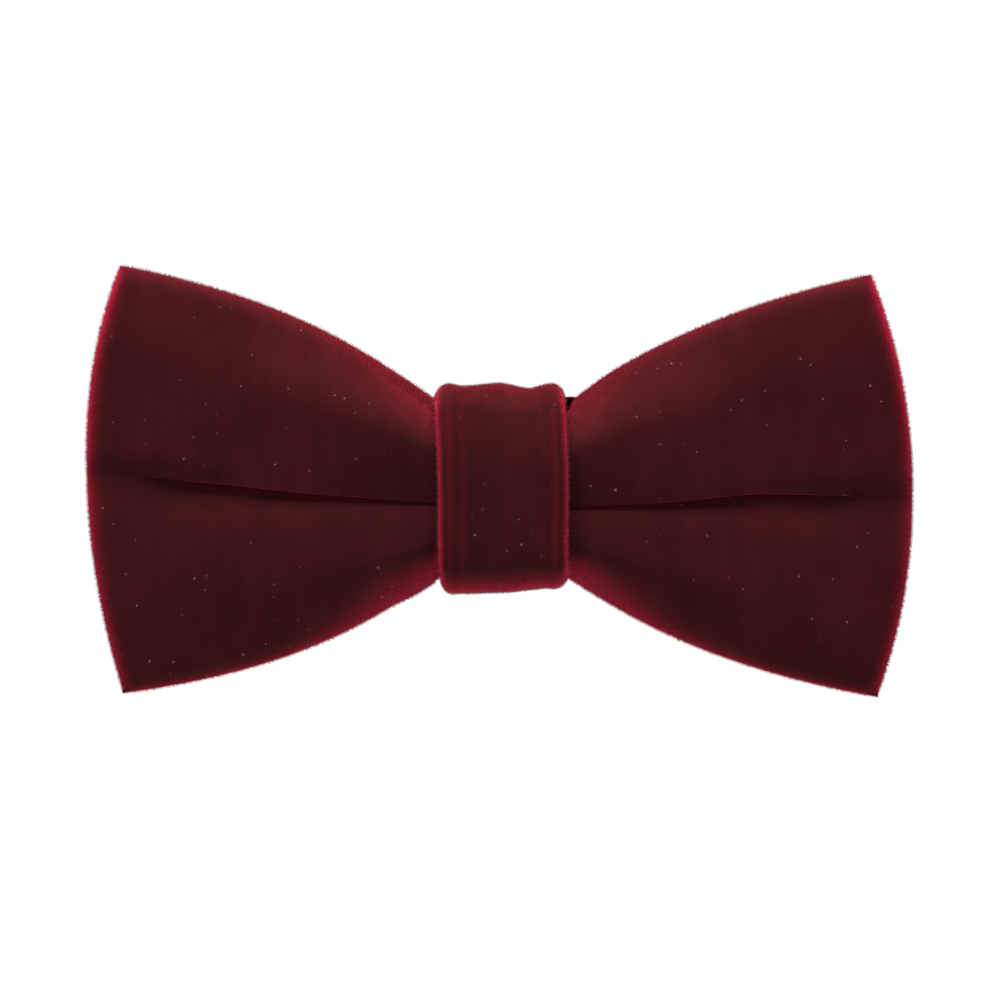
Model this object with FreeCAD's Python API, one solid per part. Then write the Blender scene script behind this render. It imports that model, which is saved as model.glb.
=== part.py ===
"""A velvet bow tie that clips onto a shirt collar, as separate pieces.

Frame, in millimetres: +X to the right of someone who faces the bow, +Z up as it is worn, and -Y
out of the bow's front. The origin is on the rear face of the clip's plate, halfway between its
two jaws, where the collar lies.

The bow is a velvet pouch, wider than it is tall, pleated at its waist: two rolls of cloth stand
forward, with a valley between them, and the pleat dies out towards the ends. A velvet band, the
knot, goes round the waist and over the middle of a steel plate with one spring jaw at each end.
"""

import FreeCAD
import Part
import math
import os

Vector = FreeCAD.Vector

# Outline of the bow, seen from the front. Left and right are as seen there, and each pair in
# this group is for the top and the bottom.
CORNER_X = {"left": (55.1, 54.6), "right": (53.7, 54.5)}
CORNER_Z = {"left": (32.3, -29.8), "right": (31.0, -30.4)}
FLARE_CURVE = {"left": (1.3, 1.7), "right": (1.2, 1.3)}
END_BULGE = {"left": 4.9, "right": 5.4}
END_SKEW = {"left": 0.15, "right": 0.0}
WAIST_Z = (12.2, -12.4)
WAIST_HALF_LENGTH = 8.4
WING_LENGTH = 54.5

# The pleat. Each pair is for the waist and the ends.
ROLL_DEPTH = (8.1, 1.6)
EDGE_Y = (-3.1, -5.6)
VALLEY_SHARE = (0.0, 0.72)
VALLEY_Z = {"left": (-2.2, 2.0), "right": (-2.6, -1.2)}
HALF_THICK = (1.6, 3.0)
HALF_THICK_EDGE = 1.25
PLEAT_REACH = 21.0

# Cloth layers. The border of the front panel is turned in and meets the back panels.
VELVET = 0.8
INTERLINING = 0.4
LAYER_GAP = 0.25
INTERLINING_REACH = 0.87
BORDER_START = 0.9
BORDER_END = 0.985
SEAM_GAP = 0.06
BACK_OPENING = 0.004
WADDING_SPAN = (0.3, 0.88)
WADDING_REACH = 0.8
STATIONS_ALONG = 69
STATIONS_ACROSS = 37

# The knot, a folded velvet band round the waist and the clip's plate.
KNOT_HALF_WIDTH = 9.4
KNOT_Y = (-15.6, 2.2)
KNOT_Z = (-15.15, 14.95)
KNOT_THICK = 2.05
KNOT_CORNER = 3.9
KNOT_EDGE_ROUND = 0.7
KNOT_LINING = 0.25
KNOT_SLIT = 0.8
KNOT_SEAM_Z = -4.0
KNOT_SEAM_GAP = 0.3

# Threads.
THREAD_R = 0.2
BINDING_TURNS = 5
BINDING_PITCH = 0.62
BINDING_Y = (-13.15, -1.08)
BINDING_Z = (-12.7, 12.5)
BINDING_CORNER = 1.0
SEAM_STITCHES = 9
SEAM_STITCH = 2.0
CENTRE_STITCH = 1.9
CENTRE_STITCH_Z = (-8.6, -6.2, 3.6, 6.4, 9.0)
STITCH_LIFT = 0.3
TACK_BEAD_R = 0.42

# The clip: a steel plate with a spring jaw at each end.
PLATE_HALF_LENGTH = 34.0
PLATE_HALF_WIDTH = 5.0
PLATE_THICK = 0.8
PLATE_CORNER = 2.5
PLATE_EAR_HALF_FOOT = 2.8
EAR_R = 1.6
PIN_X = 19.0
PIN_Y = 3.6
PIN_R = 0.8
PIN_HEAD_R = 1.35
PIN_HEAD = 0.6
PIN_CLEARANCE = 0.06
SEW_HOLE_X = 11.2
SEW_HOLE_Z = 3.1
SEW_HOLE_R = 0.6

# A jaw is one strip of steel, bent along this line: its tip, heel, crest, shoulder and lever.
JAW_LINE = ((33.4, 1.4), (23.6, 1.4), (20.4, 6.4), (17.2, 6.9), (11.4, 9.6))
JAW_THICK = 0.7
JAW_HALF_WIDTH = 3.85
JAW_BEND_R = 0.9
JAW_TEETH = 4
JAW_TOOTH_GAP = 0.2
PAD_X = (24.4, 32.6)
PAD_HALF_WIDTH = 3.5
PAD_THICK = 0.5
PAD_RIBS = 6
PAD_RIB_R = 0.3

# The spring: a coil round the pin, one leg on the plate and one under the lever.
SPRING_WIRE_R = 0.3
SPRING_R = 1.35
SPRING_TURNS = 5
SPRING_HALF_WIDTH = 2.2
SPRING_FOOT = (12.5, 0.32)
SPRING_LEVER_SHARE = 0.72

X_AXIS = Vector(1, 0, 0)
Y_AXIS = Vector(0, 1, 0)
Z_AXIS = Vector(0, 0, 1)
SIDES = ("left", "right")


def export(node, solids):
    """Writes one node from its solid or its group of solids."""
    solids = solids if isinstance(solids, list) else [solids]
    for solid in solids:
        if not solid.isValid() or solid.Volume <= 0:
            raise ValueError(f"{node} has a bad solid")
    shape = solids[0] if len(solids) == 1 else Part.makeCompound(solids)
    shape.exportStep(os.path.join("parts", node + ".step"))
    print(f"{node}: {len(solids)} solids, {shape.Volume:.1f} mm3")


def steps(low, high, count):
    return [low + (high - low) * i / (count - 1) for i in range(count)]


def blend(pair, share):
    return pair[0] + (pair[1] - pair[0]) * share


# ---- The shape of the pouch: u runs from -1 at the left end to 1 at the right, and v from -1 at
# the bottom edge to 1 at the top.


def side_of(u):
    return "left" if u < 0 else "right"


def past_waist(u):
    return max(0.0, abs(u) * WING_LENGTH - WAIST_HALF_LENGTH)


def edge_z(u, which):
    """The z of the top edge (0) or the bottom edge (1)."""
    side = side_of(u)
    share = past_waist(u) / (WING_LENGTH - WAIST_HALF_LENGTH)
    eased = share * share / (share + 0.02)
    curve = FLARE_CURVE[side][which]
    opened = (1 - math.exp(-curve * eased)) / (1 - math.exp(-curve))
    return blend((WAIST_Z[which], CORNER_Z[side][which]), opened)


def place(u, v):
    """The point's x and z."""
    side = side_of(u)
    top_x, bottom_x = CORNER_X[side]
    corner = (top_x + bottom_x) / 2 + v * (top_x - bottom_x) / 2
    end_x = corner + END_BULGE[side] * (1 - v * v) * (1 + END_SKEW[side] * v)
    top, bottom = edge_z(u, 0), edge_z(u, 1)
    return u * end_x, (top + bottom) / 2 + v * (top - bottom) / 2


def pleat_left(u):
    """1 over the waist, falling to 0 at the ends: how much of the pleat is left."""
    return math.exp(-((past_waist(u) / PLEAT_REACH) ** 1.5))


def middle_y(u, v):
    """The y of the pouch's middle, which carries the two rolls and the valley between them."""
    faded = 1 - pleat_left(u)
    top, bottom = edge_z(u, 0), edge_z(u, 1)
    valley_z = blend(VALLEY_Z[side_of(u)], abs(u))
    valley = (valley_z - (top + bottom) / 2) / ((top - bottom) / 2)
    s = (v - valley) / (1 - valley) if v > valley else (valley - v) / (1 + valley)
    wave = math.sin(math.pi * s) ** 2
    if s < 0.5:
        wave = blend((wave, 1), blend(VALLEY_SHARE, faded))
    return blend(EDGE_Y, faded) - blend(ROLL_DEPTH, faded) * wave


def half_thick(u, v):
    plump = (1 - abs(v) ** 4) * (1 - abs(u) ** 10)
    return blend((HALF_THICK_EDGE, blend(HALF_THICK, 1 - pleat_left(u))), plump)


def behind_front(depth):
    """The surface that lies `depth` behind the front of the pouch."""
    return lambda u, v: middle_y(u, v) - half_thick(u, v) + depth


def before_back(depth):
    """The surface that lies `depth` in front of the back of the pouch."""
    return lambda u, v: middle_y(u, v) + half_thick(u, v) - depth


def lining_side(u, v):
    """The inner face of the front panel, whose turned-in border fills the pouch's thickness."""
    out = (max(abs(u), abs(v)) - BORDER_START) / (BORDER_END - BORDER_START)
    out = min(1.0, max(0.0, out))
    eased = out * out * (3 - 2 * out)
    inside = 2 * half_thick(u, v) - 2 * VELVET
    return behind_front(VELVET)(u, v) + eased * (inside - SEAM_GAP)


def grid_surface(y_at, us, vs):
    points = []
    for u in us:
        row = []
        for v in vs:
            x, z = place(u, v)
            row.append(Vector(x, y_at(u, v), z))
        points.append(row)
    surface = Part.BSplineSurface()
    surface.interpolate(points)
    return surface


def layer(near, far, u_span, v_reach):
    """The solid between two surfaces, over a span of u and up to v_reach from the middle.

    Its stations are closer together towards the ends and the edges.
    """
    turns = [math.asin(u) for u in u_span]
    count = round(STATIONS_ALONG * (turns[1] - turns[0]) / math.pi)
    us = [math.sin(turn) for turn in steps(turns[0], turns[1], max(11, count))]
    tilt = math.asin(v_reach)
    vs = [math.sin(turn) for turn in steps(-tilt, tilt, STATIONS_ACROSS)]
    surfaces = [grid_surface(y_at, us, vs) for y_at in (near, far)]
    faces = [surface.toShape() for surface in surfaces]
    rims = []
    for surface in surfaces:
        u_start, u_end, v_start, v_end = surface.bounds()
        curves = (
            surface.uIso(u_start),
            surface.uIso(u_end),
            surface.vIso(v_start),
            surface.vIso(v_end),
        )
        rims.append([curve.toShape() for curve in curves])
    for near_rim, far_rim in zip(*rims):
        faces.append(Part.makeRuledSurface(near_rim, far_rim))
    shell = Part.makeShell(faces)
    shell.sewShape()
    solid = Part.makeSolid(shell)
    if solid.Volume < 0:
        solid.reverse()
    return solid


def side_span(side, start, end):
    return (start, end) if side == "right" else (-end, -start)


def export_pouch():
    export("front_panel", layer(behind_front(0), lining_side, (-1, 1), 1))
    for side in SIDES:
        span = side_span(side, BACK_OPENING, 1)
        export(f"back_panel_{side}", layer(before_back(VELVET), before_back(0), span, 1))
    front = VELVET + LAYER_GAP
    back = front + INTERLINING
    span = (-INTERLINING_REACH, INTERLINING_REACH)
    export("interlining", layer(behind_front(front), behind_front(back), span, INTERLINING_REACH))
    for side in SIDES:
        near = behind_front(back + LAYER_GAP)
        far = before_back(VELVET + LAYER_GAP)
        span = side_span(side, *WADDING_SPAN)
        export(f"wadding_{side}", layer(near, far, span, WADDING_REACH))


# ---- The knot


def round_loop(y_span, z_span, radius, x):
    """A closed wire in the plane at x: a rectangle with round corners."""
    near, far = y_span
    low, high = z_span
    corners = (
        (near + radius, low + radius, math.pi),
        (far - radius, low + radius, 1.5 * math.pi),
        (far - radius, high - radius, 0.0),
        (near + radius, high - radius, 0.5 * math.pi),
    )
    arcs = []
    for y, z, start in corners:
        arc = []
        for turn in (0, math.pi / 4, math.pi / 2):
            reach = Vector(0, math.cos(start + turn), math.sin(start + turn)) * radius
            arc.append(Vector(x, y, z) + reach)
        arcs.append(arc)
    edges = []
    for arc, following in zip(arcs, arcs[1:] + arcs[:1]):
        edges.append(Part.Arc(*arc).toShape())
        edges.append(Part.LineSegment(arc[2], following[0]).toShape())
    return Part.Wire(edges)


def ring(outer_inset, inner_inset, half_width):
    """A ring round the X axis, between two insets from the outside of the knot."""
    blocks = []
    for inset in (outer_inset, inner_inset):
        y_span = (KNOT_Y[0] + inset, KNOT_Y[1] - inset)
        z_span = (KNOT_Z[0] + inset, KNOT_Z[1] - inset)
        loop = round_loop(y_span, z_span, KNOT_CORNER - inset, -half_width)
        blocks.append(Part.Face(loop).extrude(X_AXIS * (2 * half_width)))
    return blocks[0].cut(blocks[1])


def seam_cut():
    """The gap at the back of the knot, where the two ends of the band meet."""
    size = (2 * KNOT_HALF_WIDTH, 2 * KNOT_THICK, KNOT_SEAM_GAP)
    corner = Vector(-size[0] / 2, KNOT_Y[1] - 1.5 * KNOT_THICK, KNOT_SEAM_Z - size[2] / 2)
    return Part.makeBox(*size, corner)


def knot_band():
    """A strip folded so that its raw edges meet along the middle of its inside."""
    band = ring(0, KNOT_THICK, KNOT_HALF_WIDTH)
    rims = [edge for edge in band.Edges if on_outer_rim(edge)]
    band = band.makeFillet(KNOT_EDGE_ROUND, rims)
    pocket = ring(VELVET, KNOT_THICK - VELVET, KNOT_HALF_WIDTH - VELVET)
    slit = ring(KNOT_THICK - VELVET, KNOT_THICK, KNOT_SLIT / 2)
    return band.cut([pocket, slit, seam_cut()])


def on_outer_rim(edge):
    """True for an edge of the knot's outside that faces left or right."""
    middle = edge.valueAt((edge.FirstParameter + edge.LastParameter) / 2)
    depth = min(
        middle.y - KNOT_Y[0], KNOT_Y[1] - middle.y, middle.z - KNOT_Z[0], KNOT_Z[1] - middle.z
    )
    corner_depth = KNOT_CORNER * (1 - math.sqrt(0.5))
    beside = abs(abs(middle.x) - KNOT_HALF_WIDTH) < 0.01
    along = edge.Length < 2 * KNOT_CORNER and edge.Curve.TypeId == "Part::GeomCircle"
    return beside and (abs(depth - corner_depth) < 0.01 if along else depth < 0.01)


def knot_lining():
    spare = (KNOT_THICK - 2 * VELVET - KNOT_LINING) / 2
    inset = VELVET + spare
    lining = ring(inset, inset + KNOT_LINING, KNOT_HALF_WIDTH - VELVET - 0.3)
    return lining.cut(seam_cut())


# ---- Threads


def rod_along(wire, start, direction, radius):
    """A round rod that follows a wire."""
    profile = Part.Wire(Part.makeCircle(radius, start, direction))
    return wire.makePipeShell([profile], True, True)


def capsule(start, end, radius):
    """A short straight thread with round ends."""
    along = end - start
    ends = [Part.makeSphere(radius, start), Part.makeSphere(radius, end)]
    return Part.makeCylinder(radius, along.Length, start, along).fuse(ends).removeSplitter()


def waist_binding():
    turns = []
    for i in range(BINDING_TURNS):
        x = (i - (BINDING_TURNS - 1) / 2) * BINDING_PITCH
        loop = round_loop(BINDING_Y, BINDING_Z, BINDING_CORNER, x)
        turns.append(rod_along(loop, Vector(x, BINDING_Y[1], 0), Z_AXIS, THREAD_R))
    return turns


def knot_seam_stitches():
    """Whip stitches over the seam at the back of the knot."""
    reach = KNOT_HALF_WIDTH - 1.6
    y = KNOT_Y[1] + THREAD_R
    stitches = []
    for x in steps(-reach, reach, SEAM_STITCHES):
        rise = Vector(0.25, 0, SEAM_STITCH / 2)
        middle = Vector(x, y, KNOT_SEAM_Z)
        stitches.append(capsule(middle - rise, middle + rise, THREAD_R))
    return stitches


def centre_seam_stitches():
    """Stitches that join the two back panels where they meet at the waist."""
    top, bottom = WAIST_Z
    stitches = []
    for z in CENTRE_STITCH_Z:
        y_at = before_back(0)
        v = (z - (top + bottom) / 2) / ((top - bottom) / 2)
        nudge = 0.01
        slope = (y_at(0, v + nudge) - y_at(0, v - nudge)) / (nudge * (top - bottom))
        normal = Vector(0, 1, -slope).normalize()
        middle = Vector(0, y_at(0, v), z) + normal * (THREAD_R + STITCH_LIFT)
        reach = X_AXIS * (CENTRE_STITCH / 2)
        stitches.append(capsule(middle - reach, middle + reach, THREAD_R))
    return stitches


def clip_tack_stitches():
    """Threads from the plate's sewing holes to the side of the knot, each with an end knot."""
    stitches = []
    for side in (-1, 1):
        for z in (-SEW_HOLE_Z, SEW_HOLE_Z):
            hole_x = side * SEW_HOLE_X
            start = Vector(hole_x, -PLATE_THICK - TACK_BEAD_R, z)
            bend = Vector(hole_x, 0.3, z)
            end = Vector(side * (KNOT_HALF_WIDTH + 0.05), 1.35, z)
            middle = Vector(side * (SEW_HOLE_X - 0.35), 1.0, z)
            edges = [Part.LineSegment(start, bend), Part.Arc(bend, middle, end)]
            path = Part.Wire([edge.toShape() for edge in edges])
            thread = rod_along(path, start, Y_AXIS, THREAD_R)
            bead = Part.makeSphere(TACK_BEAD_R, start)
            stitches.append(thread.fuse(bead))
    return stitches


# ---- The clip. Each piece of the right-hand end is built, and mirrored for the left.


def mirrored(shape, side):
    return shape.mirror(Vector(0, 0, 0), X_AXIS) if side == "left" else shape


def z_cylinder(radius, x, y, half_height):
    return Part.makeCylinder(radius, 2 * half_height, Vector(x, y, -half_height), Z_AXIS)


def prism(points, z_low, z_high):
    corners = [Vector(x, y, z_low) for x, y in points]
    face = Part.Face(Part.makePolygon(corners + corners[:1]))
    return face.extrude(Z_AXIS * (z_high - z_low))


def clip_plate():
    length, width = 2 * PLATE_HALF_LENGTH, 2 * PLATE_HALF_WIDTH
    corner = Vector(-PLATE_HALF_LENGTH, -PLATE_THICK, -PLATE_HALF_WIDTH)
    blank = Part.makeBox(length, PLATE_THICK, width, corner)
    corners = [
        edge
        for edge in blank.Edges
        if abs((edge.Vertexes[0].Point - edge.Vertexes[-1].Point).y) > PLATE_THICK / 2
    ]
    plate = blank.makeFillet(PLATE_CORNER, corners)
    foot, shoulder = PLATE_EAR_HALF_FOOT, EAR_R
    outline = (
        (PIN_X - foot, -PLATE_THICK),
        (PIN_X + foot, -PLATE_THICK),
        (PIN_X + shoulder, PIN_Y),
        (PIN_X - shoulder, PIN_Y),
    )
    ear_z = (PLATE_HALF_WIDTH - PLATE_THICK, PLATE_HALF_WIDTH)
    ears = []
    for low, high in (ear_z, (-ear_z[1], -ear_z[0])):
        top = Part.makeCylinder(EAR_R, PLATE_THICK, Vector(PIN_X, PIN_Y, low), Z_AXIS)
        ears.append(prism(outline, low, high).fuse(top))
    ears += [mirrored(ear, "left") for ear in ears]
    holes = []
    for side in (-1, 1):
        holes.append(z_cylinder(PIN_R, side * PIN_X, PIN_Y, PLATE_HALF_WIDTH + 1))
        for z in (-SEW_HOLE_Z, SEW_HOLE_Z):
            start = Vector(side * SEW_HOLE_X, -2 * PLATE_THICK, z)
            holes.append(Part.makeCylinder(SEW_HOLE_R, 4 * PLATE_THICK, start, Y_AXIS))
    return plate.fuse(ears).cut(holes).removeSplitter()


def clip_pin():
    pin = z_cylinder(PIN_R, PIN_X, PIN_Y, PLATE_HALF_WIDTH + PIN_HEAD)
    heads = []
    for z in (PLATE_HALF_WIDTH, -PLATE_HALF_WIDTH - PIN_HEAD):
        heads.append(Part.makeCylinder(PIN_HEAD_R, PIN_HEAD, Vector(PIN_X, PIN_Y, z), Z_AXIS))
    return pin.fuse(heads).removeSplitter()


def strip_profile(line, thick):
    """The closed outline of a bent strip, from its middle line."""
    sides = ([], [])
    for i, (x, y) in enumerate(line):
        before = line[max(0, i - 1)]
        after = line[min(len(line) - 1, i + 1)]
        normals = []
        for start, end in ((before, (x, y)), ((x, y), after)):
            if start != end:
                run = Vector(end[0] - start[0], end[1] - start[1], 0).normalize()
                normals.append(Vector(-run.y, run.x, 0))
        mitre = sum(normals[1:], normals[0]).normalize()
        reach = thick / 2 / mitre.dot(normals[0])
        for points, sign in zip(sides, (1, -1)):
            points.append((x + sign * reach * mitre.x, y + sign * reach * mitre.y))
    return sides[0] + sides[1][::-1]


def clip_jaw():
    """A bent strip with teeth at its tip and an ear on each side for the pin."""
    strip = prism(strip_profile(JAW_LINE, JAW_THICK), -JAW_HALF_WIDTH, JAW_HALF_WIDTH)
    bends = []
    for edge in strip.Edges:
        start, end = edge.Vertexes[0].Point, edge.Vertexes[-1].Point
        across = abs(start.z - end.z) > JAW_HALF_WIDTH
        if across and JAW_LINE[-1][0] + 1 < start.x < JAW_LINE[0][0] - 1:
            bends.append(edge)
    strip = strip.makeFillet(JAW_BEND_R, bends)
    heel, crest, shoulder = JAW_LINE[1:4]
    outline = (
        (heel[0] - 0.7, heel[1] + 1.1),
        crest,
        shoulder,
        (PIN_X - EAR_R, PIN_Y),
        (PIN_X, PIN_Y - EAR_R),
    )
    pieces = []
    for low in (-JAW_HALF_WIDTH, JAW_HALF_WIDTH - JAW_THICK):
        pieces.append(prism(outline, low, low + JAW_THICK))
        pieces.append(Part.makeCylinder(EAR_R, JAW_THICK, Vector(PIN_X, PIN_Y, low), Z_AXIS))
    tip_x, tip_y = JAW_LINE[0]
    pitch = 2 * JAW_HALF_WIDTH / JAW_TEETH
    for i in range(JAW_TEETH):
        z = -JAW_HALF_WIDTH + (i + 0.5) * pitch
        tooth = (
            Vector(tip_x - JAW_THICK, tip_y, z - pitch / 2),
            Vector(tip_x - JAW_THICK, tip_y, z + pitch / 2),
            Vector(tip_x - JAW_THICK, JAW_TOOTH_GAP, z),
        )
        face = Part.Face(Part.makePolygon(list(tooth) + [tooth[0]]))
        pieces.append(face.extrude(X_AXIS * JAW_THICK))
    jaw = strip.fuse(pieces)
    hole = z_cylinder(PIN_R + PIN_CLEARANCE, PIN_X, PIN_Y, PLATE_HALF_WIDTH)
    return jaw.cut(hole).removeSplitter()


def jaw_pad():
    """A rubber pad under the jaw, with ribs across it."""
    top = JAW_LINE[0][1] - JAW_THICK / 2
    corner = Vector(PAD_X[0], top - PAD_THICK, -PAD_HALF_WIDTH)
    pad = Part.makeBox(PAD_X[1] - PAD_X[0], PAD_THICK, 2 * PAD_HALF_WIDTH, corner)
    inset = 2 * PAD_RIB_R
    ribs = []
    for x in steps(PAD_X[0] + inset, PAD_X[1] - inset, PAD_RIBS):
        ribs.append(z_cylinder(PAD_RIB_R, x, top - PAD_THICK, PAD_HALF_WIDTH))
    return pad.fuse(ribs).removeSplitter()


def tangent_angle(point, turn):
    """The direction from a point to the coil along the line that touches it on one side."""
    across = Vector(PIN_X - point[0], PIN_Y - point[1], 0)
    return math.atan2(across.y, across.x) + turn * math.asin(SPRING_R / across.Length)


def clip_spring():
    shoulder, lever = JAW_LINE[3:5]
    run = Vector(lever[0] - shoulder[0], lever[1] - shoulder[1], 0)
    under = Vector(-run.y, run.x, 0).normalize() * (JAW_THICK / 2 + SPRING_WIRE_R + 0.03)
    hold = Vector(shoulder[0], shoulder[1], 0) + run * SPRING_LEVER_SHARE + under
    foot_angle = tangent_angle(SPRING_FOOT, -1)
    hold_angle = tangent_angle((hold.x, hold.y), 1)
    start_turn = foot_angle - math.pi / 2
    end_turn = hold_angle + math.pi / 2 + 2 * math.pi * (SPRING_TURNS - 1)
    count = SPRING_TURNS * 12
    coil = []
    for i in range(count + 1):
        turn = start_turn + (end_turn - start_turn) * i / count
        z = SPRING_HALF_WIDTH * (2 * i / count - 1)
        x = PIN_X + SPRING_R * math.cos(turn)
        y = PIN_Y + SPRING_R * math.sin(turn)
        coil.append(Vector(x, y, z))
    foot = Vector(SPRING_FOOT[0], SPRING_FOOT[1], -SPRING_HALF_WIDTH)
    tip = Vector(hold.x, hold.y, SPRING_HALF_WIDTH)
    curve = Part.BSplineCurve()
    curve.interpolate(coil)
    pieces = [
        Part.LineSegment(foot, coil[0]).toShape(),
        curve.toShape(),
        Part.LineSegment(coil[-1], tip).toShape(),
    ]
    return rod_along(Part.Wire(pieces), foot, coil[0] - foot, SPRING_WIRE_R)


def export_clip():
    export("clip_plate", clip_plate())
    pieces = {
        "clip_pin": clip_pin(),
        "clip_jaw": clip_jaw(),
        "jaw_pad": jaw_pad(),
        "clip_spring": clip_spring(),
    }
    for name, shape in pieces.items():
        for side in SIDES:
            export(f"{name}_{side}", mirrored(shape, side))


if __name__ == "__main__":
    os.makedirs("parts", exist_ok=True)
    export_pouch()
    export("knot_band", knot_band())
    export("knot_lining", knot_lining())
    export("waist_binding", waist_binding())
    export("knot_seam_stitches", knot_seam_stitches())
    export("centre_seam_stitches", centre_seam_stitches())
    export("clip_tack_stitches", clip_tack_stitches())
    export_clip()
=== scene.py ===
import bpy
import bmesh
import math
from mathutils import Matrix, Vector, noise


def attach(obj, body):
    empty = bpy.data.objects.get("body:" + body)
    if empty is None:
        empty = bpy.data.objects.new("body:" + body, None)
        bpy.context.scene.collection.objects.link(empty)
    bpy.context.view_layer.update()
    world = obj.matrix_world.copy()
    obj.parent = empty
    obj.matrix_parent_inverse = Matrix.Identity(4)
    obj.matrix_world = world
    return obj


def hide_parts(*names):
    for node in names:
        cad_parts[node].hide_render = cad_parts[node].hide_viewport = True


# A velvet bow tie with a knot band and a steel collar clip. Lengths are in millimetres until a
# mesh is made; +X is right, +Z is up and -Y is out of the bow's front.

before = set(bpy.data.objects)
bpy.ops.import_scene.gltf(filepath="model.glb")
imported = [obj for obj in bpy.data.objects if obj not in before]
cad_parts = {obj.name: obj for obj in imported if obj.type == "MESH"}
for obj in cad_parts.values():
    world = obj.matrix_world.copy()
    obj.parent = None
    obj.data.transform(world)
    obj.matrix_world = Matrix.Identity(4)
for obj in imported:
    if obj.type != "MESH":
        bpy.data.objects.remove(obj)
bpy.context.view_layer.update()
mm = 0.001


# Small helpers

def mix(a, b, share):
    return a + (b - a) * share


def smooth(low, high, value):  # 0 below low, 1 above high
    t = min(1.0, max(0.0, (value - low) / (high - low)))
    return t * t * (3 - 2 * t)


def wander(x, z, size, seed):  # soft noise, about -1 to 1
    return noise.noise(Vector((x / size + 13.1 * seed, 7.7 * seed, z / size)))


def meshPiece(name, points, faces, material):
    mesh = bpy.data.meshes.new(name)
    mesh.from_pydata([tuple(c * mm for c in p) for p in points], [], faces)
    mesh.validate()
    piece = bpy.data.objects.new(name, mesh)
    bpy.context.scene.collection.objects.link(piece)
    mesh.materials.append(material)
    mesh.polygons.foreach_set("use_smooth", [True] * len(mesh.polygons))
    return piece


def painted(piece, material):
    piece.data.materials.clear()
    piece.data.materials.append(material)


def applied(piece):  # the piece with its modifiers made into plain mesh
    depsgraph = bpy.context.evaluated_depsgraph_get()
    mesh = bpy.data.meshes.new_from_object(piece.evaluated_get(depsgraph), depsgraph=depsgraph)
    piece.modifiers.clear()
    piece.data = mesh
    mesh.name = piece.name
    return piece


def outward(piece):  # faces turned to point out of the closed shape
    work = bmesh.new()
    work.from_mesh(piece.data)
    bmesh.ops.recalc_face_normals(work, faces=work.faces)
    work.to_mesh(piece.data)
    work.free()
    return piece


def gridFaces(rows, columns, flip=False):
    faces = []
    for i in range(rows - 1):
        for j in range(columns - 1):
            a = i * columns + j
            quad = (a, a + 1, a + columns + 1, a + columns)
            faces.append(quad[::-1] if flip else quad)
    return faces


# Materials

def newMaterial(name):
    material = bpy.data.materials.new(name)
    material.use_nodes = True
    tree = material.node_tree
    return material, tree, tree.nodes["Principled BSDF"]


def node(tree, kind, inputs=None, **settings):
    made = tree.nodes.new(kind)
    for key, value in settings.items():
        setattr(made, key, value)
    for key, value in (inputs or {}).items():
        made.inputs[key].default_value = value
    return made


def ramp(tree, source, stops):
    made = node(tree, "ShaderNodeValToRGB")
    made.color_ramp.elements[0].position = stops[0][0]
    made.color_ramp.elements[0].color = (*stops[0][1], 1)
    made.color_ramp.elements[1].position = stops[-1][0]
    made.color_ramp.elements[1].color = (*stops[-1][1], 1)
    for position, colour in stops[1:-1]:
        made.color_ramp.elements.new(position).color = (*colour, 1)
    tree.links.new(source, made.inputs["Fac"])
    return made.outputs["Color"]


def objectNoise(tree, scale, detail=4.0, stretch=(1, 1, 1)):
    coordinates = node(tree, "ShaderNodeTexCoord")
    mapping = node(tree, "ShaderNodeMapping")
    mapping.inputs["Scale"].default_value = stretch
    made = node(tree, "ShaderNodeTexNoise", {"Scale": scale, "Detail": detail, "Roughness": 0.6})
    tree.links.new(coordinates.outputs["Object"], mapping.inputs["Vector"])
    tree.links.new(mapping.outputs["Vector"], made.inputs["Vector"])
    return made.outputs["Fac"]


velvetLook = {
    "deep": (0.0006, 0.0017, 0.0012),
    "rich": (0.0036, 0.0021, 0.0017),
    "lint": (0.055, 0.030, 0.028),
    "sheen": 0.35,
    "sheenRoughness": 0.5,
    "sheenTint": (1.0, 0.018, 0.08),
}


def mixed(tree, share, first, second):  # one colour over another
    made = node(tree, "ShaderNodeMix", data_type="RGBA")
    tree.links.new(share, made.inputs["Factor"])
    for source, socket in ((first, made.inputs[6]), (second, made.inputs[7])):
        if isinstance(source, tuple):
            socket.default_value = (*source, 1)
        else:
            tree.links.new(source, socket)
    return made.outputs[2]


def bumped(tree, height, strength, distance, under=None):
    made = node(tree, "ShaderNodeBump", {"Strength": strength, "Distance": distance})
    tree.links.new(height, made.inputs["Height"])
    if under:
        tree.links.new(under, made.inputs["Normal"])
    return made.outputs["Normal"]


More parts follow.
